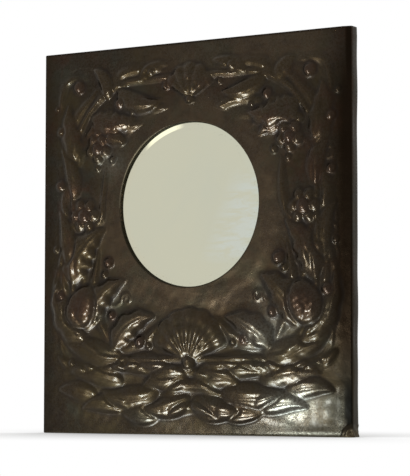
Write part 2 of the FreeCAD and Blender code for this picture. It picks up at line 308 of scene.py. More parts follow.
# x, z and radius of each berry, right half, in millimetres from the panel's middle
berries = [
    (96, -160, 9), (80, -166, 6.5), (148, -120, 9), (166, -52, 7), (158, -34, 11), (150, 128, 8), (250, 92, 9),
    (246, -86, 9), (138, 214, 9), (150, 202, 6), (74, 262, 8), (50, 238, 7), (214, 246, 12), (252, 176, 8),
    (258, -14, 7), (228, -196, 6), (120, -196, 6), (178, 116, 6), (262, 214, 5), (110, 196, 6), (20, 248, 6),
]


def holedGrid():
    # a grid over the panel whose squares bend into rings round the opening
    xs = np.linspace(fold - halfWidth, halfWidth - fold, sheetPlan["columns"] + 1)
    zs = np.linspace(fold - halfHeight, halfHeight - fold, sheetPlan["rows"] + 1)
    reach = sheetPlan["squareShare"] * openingRadius
    left, right = (int(np.abs(xs - (openingX + side * reach)).argmin()) for side in (-1, 1))
    low, high = (int(np.abs(zs - (openingZ + side * reach)).argmin()) for side in (-1, 1))
    x, z = np.meshgrid(xs, zs)
    middleX, middleZ = (xs[left] + xs[right]) / 2, (zs[low] + zs[high]) / 2
    u = (x - middleX) / ((xs[right] - xs[left]) / 2)
    v = (z - middleZ) / ((zs[high] - zs[low]) / 2)
    ring = np.maximum(np.maximum(np.abs(u), np.abs(v)), 1e-6)
    share = sheetPlan["blendShare"]
    blend = unit((ring - 1) / (share - 1))
    s, t = u / ring, v / ring
    sideways = np.abs(s) >= np.abs(t)
    angle = np.where(sideways, t * pi / 4, pi / 2 - s * pi / 4)
    angle = np.where(sideways & (s < 0), pi - t * pi / 4, angle)
    angle = np.where(~sideways & (t < 0), s * pi / 4 - pi / 2, angle)
    radius = openingRadius + lipEase
    wide = radius + leftEase * (np.cos(angle) < 0)
    outerX = middleX + share * s * (xs[right] - xs[left]) / 2
    outerZ = middleZ + share * t * (zs[high] - zs[low]) / 2
    bentX = (openingX + wide * np.cos(angle)) * (1 - blend) + outerX * blend
    bentZ = (openingZ + radius * np.sin(angle)) * (1 - blend) + outerZ * blend
    bent = ring < share
    return np.where(bent, bentX, x), np.where(bent, bentZ, z), (left, right, low, high)


gridX, gridZ, holeEdges = holedGrid()
pointX, pointZ = gridX.ravel(), gridZ.ravel()
rise = np.zeros(pointX.shape)


def smoothCurve(points, count):
    # a smooth line through given points
    p = np.array(points, float)
    p = np.vstack([2 * p[0] - p[1], p, 2 * p[-1] - p[-2]])
    spans = len(p) - 3
    steps = max(3, count // spans)
    line = []
    for k in range(spans):
        t = np.linspace(0, 1, steps, endpoint=(k == spans - 1))[:, None]
        a, b, c, d = p[k:k + 4]
        bow, twist = 2 * a - 5 * b + 4 * c - d, 3 * b - a - 3 * c + d
        line.append(0.5 * (2 * b + (c - a) * t + bow * t ** 2 + twist * t ** 3))
    return np.vstack(line)


def around(line, margin):
    # the grid's points in the box round a line
    low, high = line.min(0) - margin, line.max(0) + margin
    return np.nonzero((pointX > low[0]) & (pointX < high[0]) & (pointZ > low[1]) & (pointZ < high[1]))[0]


def nearTo(x, z, reach):
    # the grid's points near a place, and how far right of it and above it each lies
    pick = around(np.array([[x, z]]), reach)
    return pick, pointX[pick] - x, pointZ[pick] - z


def along(line, margin):
    # the grid's points near a line, how far along it each lies, as a share, and how far off it
    pick = around(line, margin)
    x, z = pointX[pick], pointZ[pick]
    runs = np.diff(line, axis=0)
    lengths = np.hypot(runs[:, 0], runs[:, 1])
    start = np.concatenate([[0], np.cumsum(lengths)])
    best = np.full(x.shape, np.inf)
    reached = np.zeros(x.shape)
    for k, length in enumerate(lengths):
        ux, uz = runs[k] / length
        rx, rz = x - line[k, 0], z - line[k, 1]
        t = np.clip(rx * ux + rz * uz, 0, length)
        away = np.hypot(rx - t * ux, rz - t * uz)
        closer = away < best
        best = np.where(closer, away, best)
        reached = np.where(closer, start[k] + t, reached)
    return pick, reached / start[-1], best


def raiseForm(pick, own, edge, groove=0.6 * mm, keep=0.3):
    # lays a raised form over what is there, with a chased line round it
    line = groove * np.exp(-(edge / reliefPlan["groove"]) ** 2)
    rise[pick] = np.where(edge < 0, keep * rise[pick] + own, rise[pick]) - line


def raiseLeaf(base, tip, bow, width, height, lobes, veins):
    run = tip - base
    normal = np.array([-run[1], run[0]])
    middle = [base + run * 0.33 + normal * bow * 0.85, base + run * 0.7 + normal * bow * 0.8]
    pick, u, off = along(smoothCurve([base, *middle, tip], leafPlan["points"]), width * 0.8)
    shape = np.sin(pi * unit(u) ** 0.72) ** 0.85
    if lobes:
        lobed = leafPlan["lobeDepth"] * np.cos(2 * pi * (u * lobes + 0.15))
        shape = shape * (1 + lobed * unit(u * 6) * unit((1 - u) * 5))
    half = np.maximum(width / 2 * shape, 0.01 * mm)
    across = unit(off / half)
    ends = np.minimum(u, 1 - u) <= 0
    edge = np.where(ends, off + 0.01 * mm, off - half)
    full = np.sin(pi * np.clip(u, 0.02, 0.98)) ** 0.45
    own = height * full * (1 - across ** 2.1) ** 0.72
    vein = np.cos(2 * pi * veins * (u - 0.22 * across))
    own = own + leafPlan["veinDepth"] * vein * across * (1 - across ** 4) * full * min(1.0, height / (8 * mm))
    own = own - leafPlan["ribDepth"] * np.exp(-(off / leafPlan["ribWidth"]) ** 2) * full
    raiseForm(pick, own, edge)


def raiseBlade(points, width, height):
    # a long leaf with soft sides that tapers to both ends
    pick, u, off = along(smoothCurve(points, bladePlan["points"]), width)
    u = np.clip(u, 0.001, 0.999)
    half = np.maximum(width / 2 * np.sin(pi * u ** 0.8) ** 0.7, 0.4 * mm)
    across = unit(off / half)
    own = height * np.sin(pi * u) ** 0.5 * (0.5 + 0.5 * np.cos(pi * across)) ** 0.8
    raiseForm(pick, own, off - half, bladePlan["groove"], bladePlan["keep"])


def raiseRod(line, startRadius, endRadius, height):
    # a round rod along a line, as the stem, the tendrils and the fine outer lines are
    pick, u, off = along(line, 14 * mm)
    half = startRadius + (endRadius - startRadius) * u
    across = unit(off / half)
    own = height * (0.6 + 0.4 * half / startRadius) * np.sqrt(1 - across ** 2)
    raiseForm(pick, own, off - half, groove=0.7 * mm)


def raiseBerry(x, z, radius, height=None):
    pick, dx, dz = nearTo(x, z, radius * 1.8)
    away = np.hypot(dx, dz)
    own = (height or 0.72 * radius) * np.sqrt(1 - unit(away / radius) ** 2)
    raiseForm(pick, own, away - radius, groove=1.1 * mm, keep=0.2)


def raiseBud(x, z, angle, length, width, height):
    # overlapping scales, the crown along the angle
    pick, dx, dz = nearTo(x, z, max(length, width) * 0.8)
    u = (dx * cos(angle) + dz * sin(angle)) / (length / 2)
    v = (dz * cos(angle) - dx * sin(angle)) / (width / 2)
    swell = np.clip(1 - 0.16 * u, 0.1, 2)
    out = np.sqrt(u ** 2 + (v / swell) ** 2)
    own = height * np.sqrt(unit(1 - out ** 2))
    pitch = 2.0 / budPlan["rows"]
    su = u / pitch
    sv = np.arcsin(np.clip(v / swell / np.sqrt(np.clip(1 - u ** 2, 0.05, 1)), -1, 1)) / (pitch * 1.25)
    scale = np.full(u.shape, -9.0)
    for k in (0, 1):
        row = np.floor(su) + k
        shift = (row % 2) * 0.5
        apart = ((su - row) * 0.85) ** 2 + (sv - np.floor(sv - shift + 0.5) - shift) ** 2
        scale = np.where((scale < 0) & (apart < 0.55), 1 - apart / 0.62, scale)
    own = own + budPlan["scaleRise"] * np.sqrt(unit(scale)) * unit((1 - out) * 6)
    raiseForm(pick, own, (out - 1) * width / 2, groove=1.2 * mm, keep=0.25)


def raiseFan(x, z, radius, spreadAngle, height, ribs):
    # ribs fan upwards from the hinge, and the rim is scalloped
    pick, dx, dz = nearTo(x, z, radius * 1.15)
    away = np.hypot(dx, dz)
    f = ((np.arctan2(dz, dx) - pi / 2 + pi) % (2 * pi) - pi) / spreadAngle
    rib = np.abs(np.cos(pi * (f + 1) / 2 * ribs + pi / 2))
    rim = radius * (1 - 0.13 * f ** 2) + fanPlan["scallop"] * (rib - 1)
    q = away / np.maximum(rim, 1 * mm)
    edge = np.maximum(away - rim, (np.abs(f) - 1) * away * spreadAngle)
    dome = np.sin(pi * unit(q) ** 0.8 * 0.93) ** 0.6 * np.sqrt(unit(1 - f ** 4))
    lines = fanPlan["lineRise"] * np.sin(q * 24) * (q > 0.35) * unit((1 - q) * 8)
    own = height * dome * (1 - fanPlan["ribShare"] + fanPlan["ribShare"] * rib) + lines
    raiseForm(pick, own, edge, groove=1.2 * mm, keep=0.25)


def raiseRosette(x, z, petals, radius, height):
    pick, dx, dz = nearTo(x, z, radius * 1.25)
    away = np.hypot(dx, dz)
    f = 1 - np.abs((((np.arctan2(dz, dx) - pi / 2) / (2 * pi) * petals) % 1.0) * 2 - 1)
    rim = radius * (1 - 0.3 * (1 - np.sin(pi * unit(f) / 2)) ** 1.2)
    q = away / rim
    own = height * (0.55 + 0.45 * np.sin(pi * unit(q))) * np.sqrt(unit(1 - q ** 3))
    own = own * (0.55 + 0.45 * np.sqrt(unit(f)))
    raiseForm(pick, own, away - rim, groove=1.1 * mm, keep=0.25)
    raiseBerry(x, z, radius * 0.42, height * 0.95)


def spiral(x, z, radius, turns, start, hand, tail):
    points = list(tail)
    for k in range(22):
        share = k / 21
        angle = start + hand * share * turns * 2 * pi
        out = radius * (1 - share) ** 0.8 + 1.5
        points.append((x + out * cos(angle), z + out * sin(angle)))
    return points


def stemLine():
    # the stem's middle line: a rounded rectangle, closed at the bottom
    inset = stemPlan["width"] / 2
    side = stemPlan["side"] * panelWidth - inset
    low, high = fans[0][0] * panelHeight + inset, stemPlan["top"] * panelHeight - inset
    lower, upper = stemPlan["lowerRadius"] - inset, stemPlan["upperRadius"] - inset
    points = [(0, low)]
    for x, z, radius, start in ((side, low, lower, -90), (side, high, upper, 0),
                                (-side, high, upper, 90), (-side, low, lower, 180)):
        midX, midZ = x - copysign(radius, x), z + (radius if z == low else -radius)
        for turn in range(start, start + 91, 10):
            points.append((midX + radius * cos(radians(turn)), midZ + radius * sin(radians(turn))))
    return np.array(points + points[:1])


def soften(field, passes):
    for _ in range(passes):
        p = np.pad(field, 1, mode="edge")
        beside = p[:-2, 1:-1] + p[2:, 1:-1] + p[1:-1, :-2] + p[1:-1, 2:]
        field = (p[1:-1, 1:-1] * 4 + beside * 2 + p[:-2, :-2] + p[2:, 2:] + p[:-2, 2:] + p[2:, :-2]) / 16
    return field


def ripple(x, z, wavelength, count, seed):
    # uneven planishing: a few slow waves in seeded directions
    chance = np.random.default_rng(seed)
    total = np.zeros(np.shape(x))
    for _ in range(count):
        angle, phase = chance.uniform(0, 2 * pi, 2)
        step = 2 * pi / (wavelength * chance.uniform(0.7, 1.5))
        total += np.sin((x * cos(angle) + z * sin(angle)) * step + phase)
    return total / sqrt(count)


def leafByHand(form, side, chance):
    # one leaf of a table on one side of the panel, a little off its mirror image as hand work is
    *ends, bow, width, height, lobes, veins = form
    off = leafPlan["offMirror"]
    ends = (np.array(ends) + chance.uniform(-off, off, 4)) * ([side * panelWidth, panelHeight] * 2)
    bow = side * bow * chance.uniform(*leafPlan["otherBow"])
    width = width * panelWidth * chance.uniform(*leafPlan["otherWidth"])
    height = height * reliefPlan["height"] * chance.uniform(*leafPlan["otherHeight"])
    raiseLeaf(ends[:2], ends[2:], bow, width, height, lobes, veins)


def bladeFromTable(blade, side, driftX=0, driftZ=0):
    *points, width, height = blade
    points = [(side * x * panelWidth + driftX, z * panelHeight + driftZ) for x, z in points]
    raiseBlade(points, width * panelWidth, height * reliefPlan["height"])


def rodFromTable(points, side, *sizes):
    # from a table in millimetres: the line, then its radius at the start and end and its height
    raiseRod(smoothCurve([(side * x * mm, z * mm) for x, z in points], 90), *(size * mm for size in sizes))


def chaseRelief():
    # the low forms first, then the stem, then everything that lies over them
    global rise
    deep = reliefPlan["height"]
    chance = np.random.default_rng(reliefPlan["seed"])
    drift = bladePlan["drift"]
    for side in (-1, 1):
        for form in groundLeaves:
            leafByHand(form, side, chance)
        for blade in blades:
            bladeFromTable(blade, side, *(chance.uniform(-drift, drift, 2) * mm))
    for blade in middleBlades:
        bladeFromTable(blade, 1)
    raiseRod(stemLine(), stemPlan["width"] / 2, stemPlan["width"] / 2, stemPlan["height"])
    for side in (-1, 1):
        for points in edgeLines:
            rodFromTable(points, side, 1.9, 1.5, 1.9)
        for x, z, radius, turns, start, hand, tail in tendrils:
            rodFromTable(spiral(x, z, radius, turns, radians(start), hand, tail), side, 2.2, 1.6, 2.6)
        for form in branchLeaves:
            leafByHand(form, side, chance)
        for x, z, lean, length, width, height in buds:
            raiseBud(side * x * panelWidth, z * panelHeight, radians(90 + side * lean),
                     length * panelWidth, width * panelWidth, height * deep)
        for x, z, petals, radius, height in rosettes:
            raiseRosette(side * x * panelWidth, z * panelHeight, petals, radius * panelWidth, height * deep)
        for x, z, radius in berries:
            x, z = side * x * mm + chance.uniform(-3, 3) * mm, z * mm + chance.uniform(-3, 3) * mm
            raiseBerry(x, z, radius * chance.uniform(0.8, 1.15) * mm)
    for z, radius, ribs, spreadDegrees, height in fans:
        x, z, radius = openingX / 2, z * panelHeight, radius * panelWidth
        raiseFan(x, z, radius, radians(spreadDegrees / 2 + 9), height * deep, ribs)
        raiseBerry(x, z, fanPlan["berryShare"] * radius)
    # the metal is drawn soft, keeps shallow grooves and flattens towards its full height
    field = soften(rise.reshape(gridX.shape), reliefPlan["softPasses"])
    rise = field + 0.45 * np.maximum(soften(field, 40) - field, 0)
    rise = np.where(rise > 0.8 * deep, deep * (0.8 + 0.2 * np.tanh((rise / deep - 0.8) / 0.2)), rise).ravel()


def frontOfSheet():
    # the height of the front over its plane, with the dished ring, the relief and the unevenness of hand work
    chaseRelief()
    dishWidth, dishRise = reliefPlan["dishWidth"], reliefPlan["dishRise"]
    past = fromHole(pointX, pointZ) - openingRadius
    share = past / dishWidth
    fall = 0.5 + 0.5 * np.cos(pi * unit((past - dishWidth) / reliefPlan["dishFall"]))
    ring = np.where(share < 1, dishRise * unit(share) ** 2, dishRise * fall)
    border = np.minimum(halfWidth - np.abs(pointX), halfHeight - np.abs(pointZ))
    settle = unit(border / (20 * mm)) * unit(past / (12 * mm))
    low = unit((-pointZ - 150 * mm) / (90 * mm))
    slow = reliefPlan["slowRise"] * mm * ripple(pointX, pointZ, reliefPlan["slowWave"], 7, 3)
    quickRise = (reliefPlan["quickRise"] + reliefPlan["quickRiseLow"] * low) * mm
    quick = quickRise * ripple(pointX, pointZ, reliefPlan["quickWave"], 11, 5)
    relief = rise * unit((past - dishWidth) / (4 * mm)) + ring
    return np.maximum(relief + (slow + quick) * settle, -0.4 * mm)


heights = frontOfSheet()
print("relief chased")


# the knocked corners: one pressed in at the top right, one torn and curled out at the bottom right
cornerPlan = {"roundness": 2.3 * mm, "pressedReach": 16 * mm, "pressedIn": 0.6 * mm, "pressedBack": 0.5 * mm,
              "tornReach": 20 * mm, "curlBefore": -8 * mm, "curlOut": (1.0, 1.6), "curlUp": 0.4,
              "curlForward": (4.6, 2.6), "dentFrom": 2 * mm, "dent": 0.3, "dentWave": 60 * mm}


def crumple(x, y, z, skin):
    # skin is 1 on the sheet's outer face and 0 on its inner one, which keeps clear of the planks
    x, y, z = x.copy(), y.copy(), z.copy()
    roundness = cornerPlan["roundness"]
    overX, overZ = np.abs(x) - halfWidth + roundness, np.abs(z) - halfHeight + roundness
    past = np.hypot(overX, overZ)
    bent = (overX > 0) & (overZ > 0) & (past > roundness) & (skin > 0)
    pull = np.where(bent, 1 - roundness / np.maximum(past, 1e-9), 0)
    x -= np.sign(x) * overX * pull
    z -= np.sign(z) * overZ * pull
    pressed = skin * unit(1 - np.hypot(x - halfWidth, z - halfHeight) / cornerPlan["pressedReach"])
    x -= cornerPlan["pressedIn"] * pressed
    z -= cornerPlan["pressedIn"] * pressed
    y += cornerPlan["pressedBack"] * pressed * (y < sheetFront + 2 * mm)
    torn = skin * unit(1 - np.hypot(x - halfWidth, z + halfHeight) / cornerPlan["tornReach"]) ** 0.6
    # out to the side, a little up, and forwards in an uneven curl
    even, wave = cornerPlan["curlOut"]
    x += np.clip(even + wave * ripple(x, z + y, 9 * mm, 5, 11), -0.3, 3) * mm * torn
    z += np.clip(cornerPlan["curlUp"] * ripple(x + y, z, 8 * mm, 5, 12), -0.2, 0.6) * mm * torn
    even, wave = cornerPlan["curlForward"]
    y -= np.clip(even + wave * ripple(x, z, 9 * mm, 6, 13), 0, 9) * mm * torn * (y < cornerPlan["curlBefore"])
    # shallow dents along the sides
    side = skin * unit((y - sheetFront - cornerPlan["dentFrom"]) / (4 * mm))
    dent = cornerPlan["dent"] * ripple(z + x, y, cornerPlan["dentWave"], 6, 21)
    dent = np.clip(dent, -0.6, 0.6) * mm * side
    x += dent * np.sign(x) * (np.abs(x) > halfWidth - 3 * mm)
    z += np.maximum(dent, 0) * (z > halfHeight - 3 * mm)
    return x, y, z


# spots painted brighter where highlights should fall, partly metal rubbed bright by handling: x, z, reach across,
# reach up (mm), strength; the last two paint a highlight line along the foot
rubbedAndHighlightSpots = [(186, -258, 36, 18, 1.0), (140, -150, 40, 24, 0.35), (-150, 120, 26, 20, 0.3),
              (180, -299.8, 34, 1.8, 0.35), (229, -299.8, 32, 1.8, 0.75)]
# where the patina changes or the rim's highlight is painted, in millimetres from the edges or the opening; the
# painted rim highlight's turn and spread in radians
patinaAndHighlightPlan = {"ringReach": 30, "foot": 1.9, "besideHole": 3, "tornReach": 17, "rimHighlightTurn": 2.55, "rimHighlightSpread": 0.65}


def bossMask(x, z):
    # the round forms that keep a redder skin: rosette hearts, buds and the larger berries
    rounds = [(form[0] * panelWidth, form[1] * panelHeight, 0.42 * form[3] * panelWidth) for form in rosettes]
    rounds += [(form[0] * panelWidth, form[1] * panelHeight, 0.45 * form[4] * panelWidth) for form in buds]
    rounds += [(atX * mm, atZ * mm, radius * mm) for atX, atZ, radius in berries if radius > 8]
    mask = np.zeros(len(x))
    for atX, atZ, radius in rounds:
        for side in (-1, 1):
            mask = np.maximum(mask, unit(1.4 - np.hypot(x - side * atX, z - atZ) / radius))
    return mask


def fade(distance, start, width):
    # 1 up to the start and 0 past the width after it, both in millimetres
    return unit(1 - (distance - start * mm) / (width * mm))


def borderMask(x, y, z):
    # the border darkens along its left, more along its bottom and most along its right side
    fromLeft, fromRight, fromFoot, fromTop = halfWidth + x, halfWidth - x, z + halfHeight, halfHeight - z
    upright = unit(fromFoot / (30 * mm)) * (1 - 0.5 * unit((z - 215 * mm) / (60 * mm)))
    besideRelief = unit(fromFoot / (100 * mm) - 0.8) * unit((240 * mm - z) / (50 * mm))
    bands = [
        0.9 * fade(fromLeft, 1.5, 2.5), 0.9 * fade(fromTop, 1.5, 3), 0.4 * fade(fromLeft, 12, 30),
        fade(fromFoot, 14, 16) * np.clip(x / (90 * mm), 0.25, 0.85), fade(fromRight, 14, 40) * upright,
        0.4 * fade(fromRight, 60, 90) * besideRelief, fade(fromRight, 8, 9),
    ]
    return np.max(bands, axis=0) * np.where(y < sheetFront + 1 * mm, 1, 0.3)


def sheetMasks(x, y, z):
    # where the patina differs, point by point; the grid's own points come first
    inFront = slice(gridX.size)
    behind = slice(gridX.size, None)
    field = heights.reshape(gridX.shape)
    away = fromHole(x, z)
    atHole = away < openingRadius + patinaAndHighlightPlan["besideHole"] * mm
    masks = {name: np.zeros(len(x)) for name in ("recess", "crest", "lifted", "rubbedAndPaintedHighlight")}
    masks["recess"][inFront] = unit((soften(field, 20) - field) / (1.6 * mm)).ravel()
    masks["recess"][behind] = atHole[behind]
    masks["crest"][inFront] = unit((field - soften(field, 10)) / (0.9 * mm)).ravel()
    masks["lifted"][inFront] = unit(heights / reliefPlan["height"])
    masks["border"] = borderMask(x, y, z)
    masks["boss"] = bossMask(x, z)
    # the plain ring's colour also lies along the top
    topBand = unit((z - 225 * mm) / (50 * mm)) * unit(x / (160 * mm) + 1) * unit((halfWidth - x) / (60 * mm) - 0.2)
    ringReach = patinaAndHighlightPlan["ringReach"]
    masks["ring"] = np.maximum(fade(away - openingRadius, ringReach, ringReach), 0.9 * topBand)
    masks["dull"] = np.where(z < patinaAndHighlightPlan["foot"] * mm - halfHeight, 0.8, 0.0)
    masks["dull"][behind] = np.where(atHole[behind], 1, masks["dull"][behind])
    # the upper left of the opening's eased rim is painted lighter: a painted highlight
    aside = np.abs(np.arctan2(z - openingZ, x - openingX) - patinaAndHighlightPlan["rimHighlightTurn"])
    onEase = unit(1 - np.abs(away - openingRadius - 0.75 * lipEase) / (0.6 * lipEase))
    masks["rim"] = unit(1.2 - aside / patinaAndHighlightPlan["rimHighlightSpread"]) * onEase
    # the brighter spots: painted highlights, partly metal rubbed bright by handling
    for atX, atZ, reachX, reachZ, strength in rubbedAndHighlightSpots:
        spot = np.exp(-((x - atX * mm) / (reachX * mm)) ** 2 - ((z - atZ * mm) / (reachZ * mm)) ** 2)
        masks["rubbedAndPaintedHighlight"] = np.maximum(masks["rubbedAndPaintedHighlight"], strength * spot)
    masks["rubbedAndPaintedHighlight"] *= y < sheetFront + 1 * mm
    masks["torn"] = unit(1.25 - np.hypot(x - halfWidth, z + halfHeight) / (patinaAndHighlightPlan["tornReach"] * mm))
    return masks


def loopOf(left, right, low, high):
    # grid places round a rectangle of rows and columns, in one direction
    columns = gridX.shape[1]
    across, up = range(left, right), range(low, high)
    there = [low * columns + c for c in across] + [r * columns + right for r in up]
    return there + [high * columns + c + 1 for c in across[::-1]] + [(r + 1) * columns + left for r in up[::-1]]


def arc(degrees):
    return sin(radians(degrees)), cos(radians(degrees))


def foldedProfile():
    # how far out and how deep: round the fold, back along the side, in over the flange and back along the inside
    back, inner = sheetPlan["back"], fold - sheetPlan["flange"]
    steps = [(fold * s, sheetFront + fold * (1 - c)) for s, c in map(arc, (30, 60, 90))]
    steps += [(fold, sheetFront + fold + (back - sheetFront - 2 * fold) * share) for share in (0.25, 0.5, 0.75)]
    steps += [(fold * c, back - fold + fold * s) for s, c in map(arc, (0, 30, 60, 90))]
    steps += [(inner * share, back) for share in (0.25, 0.5, 0.75, 1)]
    return steps + [(inner, back - gauge), (fold - gauge, back - gauge), (fold - gauge, sheetFront + gauge)]


def lipProfile():
    # radius and depth: round the eased rim, back along the lip and forwards behind it
    curve = map(arc, (25, 50, 70, 90))
    steps = [(openingRadius + lipEase * (1 - s), sheetFront + lipEase * (1 - c)) for s, c in curve]
    straight = lipEnd - sheetFront - lipEase
    steps += [(openingRadius, sheetFront + lipEase + straight * share) for share in (0.33, 0.66, 1)]
    return steps + [(openingRadius + gauge, lipEnd), (openingRadius + gauge, sheetFront + gauge)]


def buildSheet():
    left, right, low, high = holeEdges
    rows, columns = gridX.shape
    points = [np.stack([pointX, sheetFront - heights, pointZ], 1)]
    skin = [np.ones(len(pointX))]
    faces = []
    for r in range(rows - 1):
        for c in range(columns - 1):
            if not (left <= c < right and low <= r < high):
                a = r * columns + c
                faces.append((a, a + 1, a + columns + 1, a + columns))

    def sweep(loop, rings, within):
        # joins ring after ring to a loop of the grid; the last few lie within the fold
        last = loop
        for number, ring in enumerate(rings):
            count = sum(map(len, points))
            points.append(ring)
            skin.append(np.full(len(ring), 1.0 if number < len(rings) - within else 0.0))
            fresh = list(range(count, count + len(loop)))
            faces.extend((last[k - 1], last[k], fresh[k], fresh[k - 1]) for k in range(len(loop)))
            last = fresh
        return last

    edge = loopOf(0, columns - 1, 0, rows - 1)
    flatX, flatZ = halfWidth - fold, halfHeight - fold
    rings = [np.stack([pointX[edge] * (flatX + out) / flatX, np.full(len(edge), deep),
                       pointZ[edge] * (flatZ + out) / flatZ], 1) for out, deep in foldedProfile()]
    insideOuter = sweep(edge, rings, 3)
    hole = loopOf(left, right, low, high)
    towardX = (pointX[hole] - openingX) / (openingRadius + lipEase)
    towardZ = (pointZ[hole] - openingZ) / (openingRadius + lipEase)
    rings = [np.stack([openingX + towardX * radius, np.full(len(hole), deep), openingZ + towardZ * radius], 1)
             for radius, deep in lipProfile()]
    insideHole = sweep(hole, rings, 2)
    x, y, z = crumple(*np.vstack(points).T, np.concatenate(skin))

    mesh = bpy.data.meshes.new("copperSheet")
    mesh.from_pydata(np.stack([x, y, z], 1).tolist(), [], faces)
    masks = sheetMasks(x, y, z)
    for name, values in masks.items():
        mesh.attributes.new(name, "FLOAT", "POINT").data.foreach_set("value", values.astype(np.float32))
    # the inside is closed with triangles, and the grid's points over the hole go
    work = bmesh.new()
    work.from_mesh(mesh)
    work.verts.ensure_lookup_table()
    bare = [v for v in work.verts if not v.link_faces]
    rims = [work.edges.get((work.verts[loop[k - 1]], work.verts[loop[k]]))
            for loop in (insideOuter, insideHole) for k in range(len(loop))]
    bmesh.ops.triangle_fill(work, edges=rims, use_beauty=False)
    bmesh.ops.delete(work, geom=bare, context="VERTS")
    bmesh.ops.recalc_face_normals(work, faces=work.faces)
    work.to_mesh(mesh)
    work.free()
    piece = finishMesh("copperSheet", mesh, copperMaterial(masks), 55)
    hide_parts("copper_sheet")
    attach(piece, "mirror")
    print("copper sheet:", len(mesh.polygons), "faces")


# the bright spot colour is a painted highlight, partly metal rubbed bright; the rim colour is a painted highlight
copperColors = {
    "brown": (0.025, 0.016, 0.008), "lightBrown": (0.036, 0.0256, 0.0112), "verdigris": (0.03, 0.031, 0.0235),
    "ring": (0.055, 0.037, 0.0215), "greenRing": (0.043, 0.034, 0.02), "blotch": (0.018, 0.011, 0.008),
    "lifted": (0.033, 0.0202, 0.007), "reddened": (0.04, 0.0175, 0.0085), "boss": (0.034, 0.0145, 0.0075),
    "recess": (0.012, 0.008, 0.007), "lowBorder": (0.0058, 0.0053, 0.0038), "border": (0.009, 0.005, 0.0024),
    "besideFold": (0.0024, 0.0021, 0.0014), "dull": (0.026, 0.02, 0.009), "rubbedAndPaintedHighlight": (0.175, 0.172, 0.15),
    "rim": (0.26, 0.22, 0.15), "crest": (0.08, 0.055, 0.036), "edge": (0.08, 0.055, 0.036),
    "torn": (0.125, 0.095, 0.06),
}


